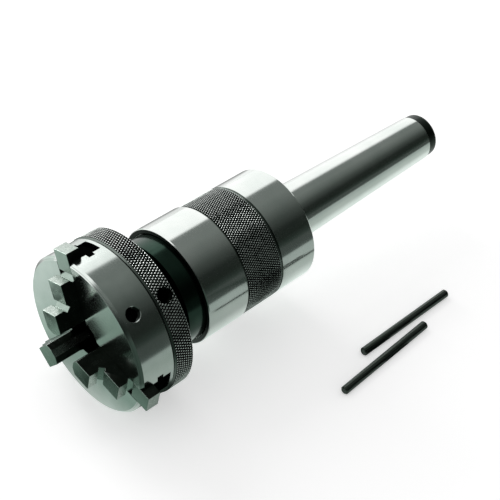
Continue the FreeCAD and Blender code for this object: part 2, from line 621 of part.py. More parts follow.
housing_clip_x = X_FRONT_BEARING + FRONT_BEARING_WIDTH + SLIDE_GAP
save("housing_circlip", open_ring(housing_clip_x, FRONT_BORE_R - CIRCLIP_BAND,
                                  FRONT_BORE_R + CIRCLIP_DEPTH - SLIDE_GAP, 90.0))
spindle_clip_x = X_REAR_BEARING - CIRCLIP_WIDTH - SLIDE_GAP
save("spindle_circlip", open_ring(spindle_clip_x, REAR_SHAFT_R - 0.5 + SEAT_GAP,
                                  REAR_SHAFT_R + CIRCLIP_BAND, 90.0))
save("dust_seal", ring(X_TUBE_FRONT - SEAL_WIDTH, X_TUBE_FRONT, SHOULDER_R + AIR_GAP,
                       FRONT_BORE_R - SEAT_GAP, 0.2))

save("spindle", spindle())
save("chuck_body", chuck_body())
save("back_plate", back_plate())
save("back_plate_screws", back_plate_screws())
save("scroll_ring", scroll_ring())
for number in range(JAWS):
    save("jaw_%d" % (number + 1), jaw(number))
for number, (place, turn) in enumerate(zip(BAR_MIDDLES, BAR_TURNS)):
    save("tommy_bar_%d" % (number + 1), tommy_bar(place, turn))
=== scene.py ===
# %% [markdown]
# A revolving centre with a small three jaw chuck, dressed for a studio picture.
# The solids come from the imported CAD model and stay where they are; this file adds the finishes,
# the diamond knurling, the floor, the light and the camera. The frame is the CAD's: +X runs
# along the turning axis towards the jaws, and +Z is up. Blender counts in metres, so a length
# that is written in millimetres is multiplied by MM.

# %% Load the solids
import json
import math
import bmesh
import bpy
from mathutils import Matrix, Vector


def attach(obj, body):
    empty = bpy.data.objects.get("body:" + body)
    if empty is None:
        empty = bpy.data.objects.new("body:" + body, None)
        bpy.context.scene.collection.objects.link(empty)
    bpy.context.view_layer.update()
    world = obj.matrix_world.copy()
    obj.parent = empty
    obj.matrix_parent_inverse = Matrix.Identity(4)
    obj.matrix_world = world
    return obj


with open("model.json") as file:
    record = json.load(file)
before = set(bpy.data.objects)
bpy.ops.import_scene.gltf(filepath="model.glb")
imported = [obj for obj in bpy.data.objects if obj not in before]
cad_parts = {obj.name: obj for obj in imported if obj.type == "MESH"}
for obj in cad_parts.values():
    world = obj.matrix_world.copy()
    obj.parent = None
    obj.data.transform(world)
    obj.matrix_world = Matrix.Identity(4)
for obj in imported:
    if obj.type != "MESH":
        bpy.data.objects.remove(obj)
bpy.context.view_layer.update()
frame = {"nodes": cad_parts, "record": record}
solids = frame["nodes"]
MM = 0.001

# %% [markdown]
# Two helpers serve every material. Colours are written as sRGB hex, as a paint shop would, and
# one function turns them linear, which is what the shader works in. The other adds one node
# with its settings, its ramp stops and its links, so a material reads as a list of its nodes.

# %% Colour and node helpers
def linear(hex_colour):
    """Turns a colour such as "#8f948f" into linear red, green, blue and alpha."""
    channels = [int(hex_colour[i:i + 2], 16) / 255 for i in (1, 3, 5)]
    bent = [c / 12.92 if c <= 0.04045 else ((c + 0.055) / 1.055) ** 2.4 for c in channels]
    return (bent[0], bent[1], bent[2], 1.0)


def add(tree, kind, inputs=None, stops=None, **settings):
    """Adds one node; each input is a value, a node whose first output feeds it, or an output."""
    node = tree.nodes.new(kind)
    for name, value in settings.items():
        setattr(node, name, value)
    for name, value in (inputs or {}).items():
        if isinstance(value, bpy.types.Node):
            value = next(output for output in value.outputs if output.enabled)
        if isinstance(value, bpy.types.NodeSocket):
            tree.links.new(value, node.inputs[name])
        else:
            node.inputs[name].default_value = value
    if stops:
        points = node.color_ramp.elements
        while len(points) < len(stops):
            points.new(0.5)
        for point, (place, hex_colour) in zip(points, stops):
            point.position = place
            point.color = linear(hex_colour)
    return node


print("steel grey in linear:", [round(c, 3) for c in linear("#cfd3d1")[:3]])

# %% [markdown]
# The camera looks down on the chuck's face from the front, right and above. Its place and its
# lens come from the ellipses that the round edges make in the picture: all of them share one
# axis, so together they fix the viewpoint. An empty aimed by hand could never be this exact.

# %% Camera
CAMERA_AT = Vector((287.055, 277.199, 315.001)) * MM
CAMERA_RIGHT = Vector((-0.725065, 0.688680, 0.0))
CAMERA_UP = Vector((-0.443560, -0.466995, 0.764964))
SENSOR = 36.0
FOCAL_PIXELS = 1236.364
PICTURE_WIDTH = 500
LENS = FOCAL_PIXELS / PICTURE_WIDTH * SENSOR

camera_data = bpy.data.cameras.new("camera")
camera_data.sensor_width = SENSOR
camera_data.lens = LENS
camera_data.clip_start = 0.01
camera_data.clip_end = 20.0
camera = bpy.data.objects.new("camera", camera_data)
bpy.context.scene.collection.objects.link(camera)
turn = Matrix((CAMERA_RIGHT, CAMERA_UP, CAMERA_RIGHT.cross(CAMERA_UP))).transposed()
camera.matrix_world = Matrix.Translation(CAMERA_AT) @ turn.to_4x4()
bpy.context.scene.camera = camera
bpy.context.scene.view_settings.view_transform = "Standard"
print("lens", round(LENS, 2), "mm from", [round(c, 3) for c in CAMERA_AT])

# %% [markdown]
# Polished steel has hardly any colour of its own: it shows the room. The room here is a white
# sheet under the object, a tall white window behind it on the left, a dim grey ceiling, and
# a dark gap on the right where the sheet ends. A ring of gradient stops round the turning axis
# gives the window, ceiling and gap; the camera itself sees plain white.

# %% Studio room
ROOM = [(-180, "#f6f6f6"), (-21, "#c5c5c5"), (-17, "#555c59"), (-9, "#4b524e"), (4, "#272f2b"),
        (14, "#181e1a"), (31, "#1b201d"), (51, "#3a3f3c"), (71, "#585d5a"), (91, "#696e6b"),
        (118, "#6c706e"), (122, "#f6f6f6"), (180, "#f9f9f9")]
WINDOW_LIGHT = 1.55
SKY_LIGHT = 0.62
WHITE = linear("#ffffff")

world = bpy.data.worlds.new("studio")
bpy.context.scene.world = world
world.use_nodes = True
room = world.node_tree
room.nodes.clear()
direction = add(room, "ShaderNodeTexCoord").outputs["Generated"]
parts = add(room, "ShaderNodeSeparateXYZ", {"Vector": direction})
around = add(room, "ShaderNodeMath", {0: parts.outputs["Z"], 1: parts.outputs["Y"]}, operation="ARCTAN2")
turned_by = add(room, "ShaderNodeMapRange", {"Value": around, "From Min": -math.pi, "From Max": math.pi})
wall_tones = [((angle + 180) / 360, tone) for angle, tone in ROOM]
walls = add(room, "ShaderNodeValToRGB", {"Fac": turned_by}, wall_tones)
rays = add(room, "ShaderNodeLightPath")
mirrored = add(room, "ShaderNodeBackground", {"Color": walls, "Strength": WINDOW_LIGHT})
soft_sky = add(room, "ShaderNodeBackground", {"Color": WHITE, "Strength": SKY_LIGHT})
white_wall = add(room, "ShaderNodeBackground", {"Color": WHITE, "Strength": 1.0})
in_metal = add(room, "ShaderNodeMixShader", {0: rays.outputs["Is Glossy Ray"], 1: soft_sky, 2: mirrored})
seen = add(room, "ShaderNodeMixShader", {0: rays.outputs["Is Camera Ray"], 1: in_metal, 2: white_wall})
add(room, "ShaderNodeOutputWorld", {"Surface": seen})
print("room has", len(ROOM), "stops round the axis")

# %% [markdown]
# The floor is one big sheet of white paper, flat and level with the lowest point of the chuck.
# A grid is all it needs.

# %% Floor sheet
FLOOR_Z = -32.7 * MM
SHEET_HALF = 2.0
SHEET_MIDDLE_X = 0.02

sheet = bmesh.new()
bmesh.ops.create_grid(sheet, x_segments=8, y_segments=8, size=SHEET_HALF)
floor_mesh = bpy.data.meshes.new("floor")
sheet.to_mesh(floor_mesh)
sheet.free()
floor = bpy.data.objects.new("floor", floor_mesh)
floor.location = (SHEET_MIDDLE_X, 0.0, FLOOR_Z)
bpy.context.scene.collection.objects.link(floor)
print("floor at z =", round(FLOOR_Z, 4))

# %% [markdown]
# In a light tent the sheet isn't evenly lit: it is darker close to the object and in front of
# it, and it ends in the dark gap on the right. Only the metal shows this, so four rows of
# tones, each running across the sheet along Y in millimetres, give the sheet its mirrored
# colour: beside the shank, beside the chuck and housing, under the chuck's face and, with a
# dark corner where the gap comes forward, in front of it.

# %% Rows of tones across the sheet
ROW_HALF = 200
BESIDE_SHANK = [(-200, "#dfdfdf"), (-140, "#cbcbcb"), (-60, "#bfbfbf"), (-12, "#c4c6c5"), (5, "#ced6d2"),
                (14, "#d3dad7"), (23, "#c7cfcb"), (35, "#aab2ae"), (52, "#a4ada8"), (75, "#97a09c"),
                (124, "#909995"), (132, "#454c49"), (200, "#3f4542")]
BESIDE_CHUCK = [(-200, "#c8c8c8"), (-140, "#9e9f9e"), (-107, "#7a7b7a"), (-60, "#767877"),
                (-12, "#bcc0be"), (5, "#ced6d2"), (14, "#d3dad7"), (23, "#c7cfcb"), (35, "#a2aaa6"),
                (52, "#a1aaa5"), (75, "#939c97"), (124, "#909995"), (132, "#454c49"), (200, "#3f4542")]
AT_FACE = [(-200, "#bcc4c0"), (-62, "#b5c0bb"), (-46, "#9baca4"), (-30, "#7c8e85"), (-10, "#81958c"),
           (30, "#81958c"), (60, "#5f6f67"), (124, "#4b5550"), (200, "#3f4542")]
BEFORE_FACE = [(-200, "#bcc4c0"), (-62, "#b5c0bb"), (-46, "#9baca4"), (-30, "#7c8e85"), (-21, "#73857c"),
               (-12, "#37433d"), (60, "#37433d"), (200, "#37433d")]

paper = bpy.data.materials.new("white_paper_sheet")
paper.use_nodes = True
tree = paper.node_tree
tree.nodes.clear()
place = add(tree, "ShaderNodeNewGeometry").outputs["Position"]
spot = add(tree, "ShaderNodeSeparateXYZ", {"Vector": place})
across = add(tree, "ShaderNodeMapRange", {"Value": spot.outputs["Y"], "From Min": -ROW_HALF * MM,
                                          "From Max": ROW_HALF * MM})
rows = []
for tones in (BESIDE_SHANK, BESIDE_CHUCK, AT_FACE, BEFORE_FACE):
    row_stops = [((y + ROW_HALF) / (2 * ROW_HALF), tone) for y, tone in tones]
    rows.append(add(tree, "ShaderNodeValToRGB", {"Fac": across}, row_stops))
print("sheet has", len(rows), "rows of tones")

# %% [markdown]
# Each row fades into the next between two places along X, in millimetres. The first fade slants,
# because rays that leave the left of the housing drift towards the shank on their way down.

# %% Fades between the rows
HOUSING_SLANT = -0.55
HOUSING_FADE = (-12, 3)
FACE_FADE = (107, 116)
AHEAD_FADE = (120, 129)

slanted = add(tree, "ShaderNodeMath", {0: spot.outputs["Y"], 1: HOUSING_SLANT, 2: spot.outputs["X"]},
              operation="MULTIPLY_ADD")
fades = ((slanted, HOUSING_FADE), (spot.outputs["X"], FACE_FADE), (spot.outputs["X"], AHEAD_FADE))
mirrored_sheet = rows[0]
for (measured, (begins, ends)), row in zip(fades, rows[1:]):
    share = add(tree, "ShaderNodeMapRange", {"Value": measured, "From Min": begins * MM,
                                             "From Max": ends * MM})
    mirrored_sheet = add(tree, "ShaderNodeMix", {0: share, 6: mirrored_sheet, 7: row}, data_type="RGBA")
print("faded", len(rows), "rows into one sheet")

# %% [markdown]
# Two dark spots stand for the shade of the jaws, one in front of the face and one under the rim.
# A slanting strip stands for the place that the black collar sends no light to. Each spot is its
# centre and the radii where the dark ends and the fade ends; the strip is its middle, its half
# width and where it starts to the right of the object. All are in millimetres.

# %% Shade on the sheet
SHADE = linear("#27302b")
JAW_SHADE = [(146, -53, 8, 14), (88, 23, 9, 15)]
STRIP_SLANT = 0.45
STRIP_MIDDLE, STRIP_HALF, STRIP_START = 33, 7.3, 18

for x_mm, y_mm, dark_to, clear_from in JAW_SHADE:
    centre = (x_mm * MM, y_mm * MM, FLOOR_Z)
    away = add(tree, "ShaderNodeVectorMath", {0: place, 1: centre}, operation="DISTANCE")
    clear = add(tree, "ShaderNodeMapRange", {"Value": away, "From Min": dark_to * MM,
                                             "From Max": clear_from * MM})
    mirrored_sheet = add(tree, "ShaderNodeMix", {0: clear, 6: SHADE, 7: mirrored_sheet}, data_type="RGBA")
leaning = add(tree, "ShaderNodeMath", {0: spot.outputs["Y"], 1: STRIP_SLANT, 2: spot.outputs["X"]},
              operation="MULTIPLY_ADD")
in_strip = add(tree, "ShaderNodeMath", {0: leaning, 1: STRIP_MIDDLE * MM, 2: STRIP_HALF * MM},
               operation="COMPARE")
on_right = add(tree, "ShaderNodeMath", {0: spot.outputs["Y"], 1: STRIP_START * MM},
               operation="GREATER_THAN")
by_collar = add(tree, "ShaderNodeMath", {0: in_strip, 1: on_right}, operation="MULTIPLY")
mirrored_sheet = add(tree, "ShaderNodeMix", {0: by_collar, 6: mirrored_sheet, 7: SHADE}, data_type="RGBA")
print("shade under", len(JAW_SHADE), "jaws and beside the collar")

# %% [markdown]
# Uncoated paper scatters light evenly, so a diffuse shader is the whole surface, and it keeps the
# object's soft shadow. A little light of its own, as from a sheet lit from below, whitens it
# for the camera and gives the metal something bright to mirror.

# %% White paper
PAPER = linear("#eeeeee")
GLOW_IN_METAL = 0.8
GLOW_TO_CAMERA = 0.48

rays = add(tree, "ShaderNodeLightPath")
paper_colour = add(tree, "ShaderNodeMix", {0: rays.outputs["Is Glossy Ray"], 6: PAPER, 7: mirrored_sheet},
                   data_type="RGBA")
to_camera = add(tree, "ShaderNodeMath", {0: rays.outputs["Is Camera Ray"], 1: GLOW_TO_CAMERA},
                operation="MULTIPLY")
glow = add(tree, "ShaderNodeMath", {0: rays.outputs["Is Glossy Ray"], 1: GLOW_IN_METAL, 2: to_camera},
           operation="MULTIPLY_ADD")
matte = add(tree, "ShaderNodeBsdfDiffuse", {"Color": paper_colour})
backlit = add(tree, "ShaderNodeEmission", {"Color": paper_colour, "Strength": glow})
both = add(tree, "ShaderNodeAddShader", {0: matte, 1: backlit})
add(tree, "ShaderNodeOutputMaterial", {"Surface": both})
floor_mesh.materials.append(paper)
print("made", paper.name)

# %% [markdown]
# Two softboxes stand on the left, one high and one low. A knurl is thousands of tiny tilted
# mirrors, and each needs something bright to catch, so the lamps are what makes the diamonds
# sparkle and the edges of the jaws glint. They are small in power, so pale surfaces keep
# their tone.

# %% Lamps
def softbox(name, at, look_at, size, power):
    """A square lamp that faces a point; position and size in metres, power in watts."""
    light = bpy.data.lights.new(name, "AREA")
    light.shape = "SQUARE"
    light.size = size
    light.energy = power
    lamp = bpy.data.objects.new(name, light)
    bpy.context.scene.collection.objects.link(lamp)
    aim = (Vector(look_at) - Vector(at)).to_track_quat("-Z", "Y")
    lamp.matrix_world = Matrix.Translation(Vector(at)) @ aim.to_matrix().to_4x4()
    return lamp


MIDDLE = (0.05, 0.0, 0.0)
high = softbox("softbox_high", (-0.02, -0.86, 0.69), MIDDLE, 0.50, 2.2)
low = softbox("softbox_low", (0.02, -1.05, 0.33), MIDDLE, 0.40, 3.6)
print("lamps:", high.name, low.name)

# %% [markdown]
# Every metal here was made on a lathe or a cylindrical grinder, so every one has fine marks that
# run round its axis. Two helpers serve them all: one finds where a point sits on the lathe, its
# X and its distance from the axis, and the other lays noise along X + radius. That sum counts
# outwards over a flat face and along a cylinder alike, so both get their turning marks from it.
# Noise seldom leaves the range from 0.3 to 0.7, so whatever it drives starts and ends there.

# %% Start of a finish
FAINT = 0.3
STRONG = 0.7


def start_finish(name):
    """A new material with nothing in it yet."""
    material = bpy.data.materials.new(name)
    material.use_nodes = True
    material.node_tree.nodes.clear()
    return material, material.node_tree


def on_the_lathe(tree):
    """Outputs for a point's place, its X and its distance from the turning axis, in metres."""
    here = add(tree, "ShaderNodeTexCoord").outputs["Object"]
    axes = add(tree, "ShaderNodeSeparateXYZ", {"Vector": here})
    flat = add(tree, "ShaderNodeCombineXYZ", {"Y": axes.outputs["Y"], "Z": axes.outputs["Z"]})
    radius = add(tree, "ShaderNodeVectorMath", {0: flat}, operation="LENGTH")
    return here, axes.outputs["X"], radius


def turning_marks(tree, x, radius, spacing_mm):
    """Noise along X + radius, from 0 to 1, with one mark about every spacing_mm."""
    travel = add(tree, "ShaderNodeMath", {0: x, 1: radius}, operation="ADD")
    return add(tree, "ShaderNodeTexNoise", {"W": travel, "Scale": 1 / (spacing_mm * MM), "Detail": 3.0,
                                            "Roughness": 0.6}, noise_dimensions="1D")


print("finish helpers ready")

# %% [markdown]
# The Morse shank, the rear cylinder and the front sleeve are hardened alloy steel, ground round
# and left bright. Grinding leaves them nearly mirrors, which is why the room shows in them as
# long sharp bands. The last few millimetres of the shank are blacked: the grinder stops short
# of the small end, and the dark skin from hardening stays there, as it does on the sleeve's
# narrow front face, which only the lathe has touched. Grinding lines a third of a millimetre
# apart are coarser than the real ones, which would be too fine to show.

# %% Ground steel
BAND_EDGE = -75.5 * MM
LIP_FACE = 67.66 * MM
SKIN_ROUGHER_BY = 0.25

ground_steel, tree = start_finish("ground_alloy_steel")
here, x, radius = on_the_lathe(tree)
marks = turning_marks(tree, x, radius, 0.35)
patches = add(tree, "ShaderNodeTexNoise", {"Vector": here, "Scale": 1 / (14 * MM), "Detail": 3.0})
bright = add(tree, "ShaderNodeValToRGB", {"Fac": patches}, stops=[(FAINT, "#c9cfcb"), (STRONG, "#d6d9d6")])
skin = add(tree, "ShaderNodeValToRGB", {"Fac": marks}, stops=[(FAINT, "#232a26"), (STRONG, "#333b36")])
in_band = add(tree, "ShaderNodeMath", {0: x, 1: BAND_EDGE}, operation="LESS_THAN")
on_lip = add(tree, "ShaderNodeMath", {0: x, 1: LIP_FACE}, operation="GREATER_THAN")
is_black = add(tree, "ShaderNodeMath", {0: in_band, 1: on_lip}, operation="MAXIMUM")
colour = add(tree, "ShaderNodeMix", {0: is_black, 6: bright, 7: skin}, data_type="RGBA")
polish = add(tree, "ShaderNodeMapRange", {"Value": marks, "From Min": FAINT, "From Max": STRONG,
                                          "To Min": 0.09, "To Max": 0.17})
roughness = add(tree, "ShaderNodeMath", {0: is_black, 1: SKIN_ROUGHER_BY, 2: polish},
                operation="MULTIPLY_ADD")
lines = add(tree, "ShaderNodeBump", {"Height": marks, "Distance": 0.0003 * MM})
round_axis = add(tree, "ShaderNodeTangent", direction_type="RADIAL", axis="X")
shader = add(tree, "ShaderNodeBsdfPrincipled", {
    "Base Color": colour, "Metallic": 1.0, "Roughness": roughness, "Normal": lines, "Tangent": round_axis,
    "Anisotropic": 0.45, "Anisotropic Rotation": 0.25})
add(tree, "ShaderNodeOutputMaterial", {"Surface": shader})
print("made", ground_steel.name)

# %% [markdown]
# The spindle's drum and the back plate are blacked: a hot salt bath turns the surface into a thin
# black oxide. It stays a metal skin, so it is metallic with a very dark base, and it mirrors the
# window as a faint green grey sheen. The marks of the lathe still show under the black.

# %% Black oxide, turned
black_steel, tree = start_finish("black_oxide_turned_steel")
here, x, radius = on_the_lathe(tree)
marks = turning_marks(tree, x, radius, 0.30)
patches = add(tree, "ShaderNodeTexNoise", {"Vector": here, "Scale": 1 / (10 * MM), "Detail": 3.0})
colour = add(tree, "ShaderNodeValToRGB", {"Fac": patches}, stops=[(FAINT, "#25352d"), (STRONG, "#31453c")])
roughness = add(tree, "ShaderNodeMapRange", {"Value": marks, "From Min": FAINT, "From Max": STRONG,
                                             "To Min": 0.12, "To Max": 0.22})
lines = add(tree, "ShaderNodeBump", {"Height": marks, "Distance": 0.0010 * MM})
round_axis = add(tree, "ShaderNodeTangent", direction_type="RADIAL", axis="X")
shader = add(tree, "ShaderNodeBsdfPrincipled", {
    "Base Color": colour, "Metallic": 1.0, "Roughness": roughness, "Normal": lines, "Tangent": round_axis,
    "Anisotropic": 0.3, "Anisotropic Rotation": 0.25})
add(tree, "ShaderNodeOutputMaterial", {"Surface": shader})
print("made", black_steel.name)

# %% [markdown]
# Knurling is rolled in by a pair of wheels, and then the part is blacked. Fingers polish the crests bright,
# and the colour is driven by the radius of each point: black in the lower half, and bright close to the
# crest. The bright crests are the polish of wear. The black low in the grooves is painted shade where the
# diamonds shade each other; on the collar part of that black is also its oxide. The plain bands at either
# end of the knurl were turned after it, and are an even mid grey.

# %% Knurled steel
COLLAR_ROOT, COLLAR_CREST, COLLAR_KNURL = 24.1, 24.36, (30.3, 47.3)
RING_ROOT, RING_CREST, RING_KNURL = 32.7, 32.99, (83.4, 90.9)
KNURLS = {
    "black_oxide_knurled_steel": (COLLAR_ROOT, COLLAR_CREST, COLLAR_KNURL, "#050806", "#171d19", "#e2e8e4"),
    "hardened_knurled_steel": (RING_ROOT, RING_CREST, RING_KNURL, "#070a08", "#3f4841", "#eef2ef")}
BAND_MARGIN = 0.02
knurled = []
for name, (root, crest, (start, end), groove_shade, side, crest_colour) in KNURLS.items():
    material, tree = start_finish(name)
    here, x, radius = on_the_lathe(tree)
    height = add(tree, "ShaderNodeMapRange", {"Value": radius, "From Min": root * MM,
                                              "From Max": crest * MM})
    worn = add(tree, "ShaderNodeTexNoise", {"Vector": here, "Scale": 1 / (3 * MM), "Detail": 3.0})
    rubbed = add(tree, "ShaderNodeMapRange", {"Value": worn, "From Min": FAINT, "From Max": STRONG,
                                              "To Min": -0.12, "To Max": 0.04})
    reached = add(tree, "ShaderNodeMath", {0: height, 1: rubbed}, operation="ADD")
    # The groove colour is painted shade: black at the root of each diamond, lightening up its sides.
    diamond = add(tree, "ShaderNodeValToRGB", {"Fac": reached},
                  stops=[(0.25, groove_shade), (0.6, side), (0.88, crest_colour)])
    from_middle = add(tree, "ShaderNodeMath", {0: x, 1: (start + end) / 2 * MM}, operation="SUBTRACT")
    off_centre = add(tree, "ShaderNodeMath", {0: from_middle}, operation="ABSOLUTE")
    is_plain = add(tree, "ShaderNodeMath", {0: off_centre, 1: ((end - start) / 2 + BAND_MARGIN) * MM},
                   operation="GREATER_THAN")
    colour = add(tree, "ShaderNodeMix", {0: is_plain, 6: diamond, 7: linear("#6b736e")}, data_type="RGBA")
    grit = add(tree, "ShaderNodeTexNoise", {"Vector": here, "Scale": 1 / (0.35 * MM), "Detail": 2.0})
    roughness = add(tree, "ShaderNodeMapRange", {"Value": grit, "From Min": FAINT, "From Max": STRONG,
                                                 "To Min": 0.18, "To Max": 0.28})
    bumps = add(tree, "ShaderNodeBump", {"Height": grit, "Distance": 0.003 * MM})
    shader = add(tree, "ShaderNodeBsdfPrincipled", {
        "Base Color": colour, "Metallic": 1.0, "Roughness": roughness, "Normal": bumps})
    add(tree, "ShaderNodeOutputMaterial", {"Surface": shader})
    knurled.append(material)
black_knurl, ring_steel = knurled
print("made", black_knurl.name, "and", ring_steel.name)

# %% [markdown]
# The chuck body is turned from alloy steel and finished fine, not ground, so it is satin: the same bands as
# on the sleeve, but with soft edges. On the flat face the marks run in circles, and circles of fine grooves
# gather the light into wedges. The shader's own stretch, combed round the axis, gives exactly that. The
# slots and the drilled holes get a painted shade: everything deeper than the outer surface of the part,
# where little light gets in, is painted dark. Each shade edge is a pair in millimetres: bright down to the
# first, painted shade from the second.

# %% Satin turned steel
RIM_SHADE_EDGE = (31.8, 31.4)
FACE_SHADE_EDGE = (106.9, 106.6)
SINK_SHADE_EDGE = (32.42, 32.2)
HOLE_ROW, HOLE_REACH = 101.2, 3.6

chuck_steel, tree = start_finish("satin_turned_steel")
here, x, radius = on_the_lathe(tree)
marks = turning_marks(tree, x, radius, 0.45)
patches = add(tree, "ShaderNodeTexNoise", {"Vector": here, "Scale": 1 / (9 * MM), "Detail": 3.0})
skin = add(tree, "ShaderNodeValToRGB", {"Fac": patches}, stops=[(FAINT, "#bdc5c0"), (STRONG, "#cbd1cd")])
below_rim, below_face, in_sink = [
    add(tree, "ShaderNodeMapRange", {"Value": measured, "From Min": bright_to * MM,
                                     "From Max": dark_from * MM})
    for measured, (bright_to, dark_from) in ((radius, RIM_SHADE_EDGE), (x, FACE_SHADE_EDGE), (radius, SINK_SHADE_EDGE))]
in_slot_shade = add(tree, "ShaderNodeMath", {0: below_rim, 1: below_face}, operation="MULTIPLY")
by_holes = add(tree, "ShaderNodeMath", {0: x, 1: HOLE_ROW * MM, 2: HOLE_REACH * MM}, operation="COMPARE")
in_hole_shade = add(tree, "ShaderNodeMath", {0: in_sink, 1: by_holes}, operation="MULTIPLY")
is_painted_shade = add(tree, "ShaderNodeMath", {0: in_slot_shade, 1: in_hole_shade}, operation="MAXIMUM")
# Slots and holes are painted a dark grey as shade, in place of the satin steel.
colour = add(tree, "ShaderNodeMix", {0: is_painted_shade, 6: skin, 7: linear("#2a2f2c")}, data_type="RGBA")
roughness = add(tree, "ShaderNodeMapRange", {"Value": marks, "From Min": FAINT, "From Max": STRONG,
                                             "To Min": 0.14, "To Max": 0.18})
lines = add(tree, "ShaderNodeBump", {"Height": marks, "Distance": 0.0002 * MM})
round_axis = add(tree, "ShaderNodeTangent", direction_type="RADIAL", axis="X")
shader = add(tree, "ShaderNodeBsdfPrincipled", {
    "Base Color": colour, "Metallic": 1.0, "Roughness": roughness, "Normal": lines, "Tangent": round_axis,
    "Anisotropic": 0.7, "Anisotropic Rotation": 0.25})
add(tree, "ShaderNodeOutputMaterial", {"Surface": shader})
print("made", chuck_steel.name)

# %% [markdown]
# The jaws are case hardened and then ground on the surfaces that matter: the outer risers bright, and the
# step tops to a duller green grey. The flanks are dark, partly from the skin of hardening and partly as
# painted shade down the jaws' sides. The feet down in the slots are painted black as shade. Which way a
# surface faces tells them apart. Seen along the axis the three jaws stand 120 degrees apart, so the flanks'
# angles all fit one wave of six lobes a turn, and the risers' angles fall between its crests. So that the
# painted shade on the feet mirrors nothing even at a grazing angle, the feet are rough and their edge tint
# is dark.

# %% Hardened jaw steel
FLANKS = 6
FLANK_ANGLE = math.radians(15)
FOOT_TOP = 101.7 * MM
FOOT_SHADE_ROUGHNESS = 0.7

jaw_steel, tree = start_finish("case_hardened_ground_steel")
here, x, radius = on_the_lathe(tree)
facing = add(tree, "ShaderNodeSeparateXYZ", {"Vector": add(tree, "ShaderNodeTexCoord").outputs["Normal"]})
around = add(tree, "ShaderNodeMath", {0: facing.outputs["Z"], 1: facing.outputs["Y"]},
             operation="ARCTAN2")
from_flank = add(tree, "ShaderNodeMath", {0: around, 1: FLANK_ANGLE}, operation="SUBTRACT")
lobes = add(tree, "ShaderNodeMath", {0: from_flank, 1: FLANKS}, operation="MULTIPLY")
wave = add(tree, "ShaderNodeMath", {0: lobes}, operation="COSINE")
is_riser = add(tree, "ShaderNodeMapRange", {"Value": wave, "From Min": 0.4, "From Max": -0.4})
is_top = add(tree, "ShaderNodeMapRange", {"Value": facing.outputs["X"], "From Min": 0.25,
                                          "From Max": 0.45})
is_ground = add(tree, "ShaderNodeMath", {0: is_riser, 1: is_top}, operation="MAXIMUM")
is_above = add(tree, "ShaderNodeMath", {0: x, 1: FOOT_TOP}, operation="GREATER_THAN")
stains = add(tree, "ShaderNodeTexNoise", {"Vector": here, "Scale": 1 / (4 * MM), "Detail": 3.0})
scuffs = add(tree, "ShaderNodeTexNoise", {"Vector": here, "Scale": 1 / (0.5 * MM), "Detail": 3.0})
# The flank colour is partly the skin of hardening and partly painted shade.
flank_shade = add(tree, "ShaderNodeValToRGB", {"Fac": stains}, stops=[(FAINT, "#20241f"), (STRONG, "#303531")])
riser = add(tree, "ShaderNodeValToRGB", {"Fac": scuffs}, stops=[(FAINT, "#828e87"), (STRONG, "#b4bdb6")])
step_top = add(tree, "ShaderNodeValToRGB", {"Fac": stains}, stops=[(FAINT, "#8b9a91"), (STRONG, "#9aa9a0")])
ground_face = add(tree, "ShaderNodeMix", {0: is_top, 6: riser, 7: step_top}, data_type="RGBA")
upper = add(tree, "ShaderNodeMix", {0: is_ground, 6: flank_shade, 7: ground_face}, data_type="RGBA")
# Below the top of the foot the jaw is painted black as shade.
colour = add(tree, "ShaderNodeMix", {0: is_above, 6: linear("#090b0a"), 7: upper}, data_type="RGBA")
polish = add(tree, "ShaderNodeMapRange", {"Value": stains, "From Min": FAINT, "From Max": STRONG,
                                          "To Min": 0.18, "To Max": 0.30})
roughness = add(tree, "ShaderNodeMix", {0: is_above, 2: FOOT_SHADE_ROUGHNESS, 3: polish})
# The dark edge tint keeps the painted shade on the feet from mirroring anything.
foot_shade_tint = add(tree, "ShaderNodeMix", {0: is_above, 6: linear("#202422"), 7: WHITE}, data_type="RGBA")
bumps = add(tree, "ShaderNodeBump", {"Height": scuffs, "Distance": 0.002 * MM})
shader = add(tree, "ShaderNodeBsdfPrincipled", {
    "Base Color": colour, "Metallic": 1.0, "Roughness": roughness, "Specular Tint": foot_shade_tint,
    "Normal": bumps})
add(tree, "ShaderNodeOutputMaterial", {"Surface": shader})
print("made", jaw_steel.name)

# %% [markdown]
# The tommy bars are drawn steel rod, cut, chamfered and blacked. Drawing leaves fine lines along
# the rod, so their noise is stretched lengthways rather than round. Lines 0.4 mm wide are
# coarser than the real ones, which would be too fine to show.

# %% Blacked drawn rod
LINE_LENGTH = 16.667 * MM
LINE_WIDTH = 0.4 * MM

bar_steel, tree = start_finish("black_oxide_drawn_rod")
here = add(tree, "ShaderNodeTexCoord").outputs["Object"]
stretched = add(tree, "ShaderNodeMapping", {
    "Vector": here, "Scale": (1 / LINE_LENGTH, 1 / LINE_WIDTH, 1 / LINE_WIDTH)})
drawn = add(tree, "ShaderNodeTexNoise", {"Vector": stretched, "Scale": 1.0, "Detail": 2.0})
colour = add(tree, "ShaderNodeValToRGB", {"Fac": drawn}, stops=[(FAINT, "#3c423e"), (STRONG, "#535a55")])
roughness = add(tree, "ShaderNodeMapRange", {"Value": drawn, "From Min": FAINT, "From Max": STRONG,
                                             "To Min": 0.22, "To Max": 0.36})
lines = add(tree, "ShaderNodeBump", {"Height": drawn, "Distance": 0.003 * MM})
shader = add(tree, "ShaderNodeBsdfPrincipled", {
    "Base Color": colour, "Metallic": 1.0, "Roughness": roughness, "Normal": lines})
add(tree, "ShaderNodeOutputMaterial", {"Surface": shader})
print("made", bar_steel.name)

# %% [markdown]
# The rest is inside the housing and shows only where the front is open: hardened chrome bearing
# steel lapped to a mirror, and machined brass cages. Both carry the marks of turning, so one
# loop makes the two from their colours, their polish and the depth of their marks.

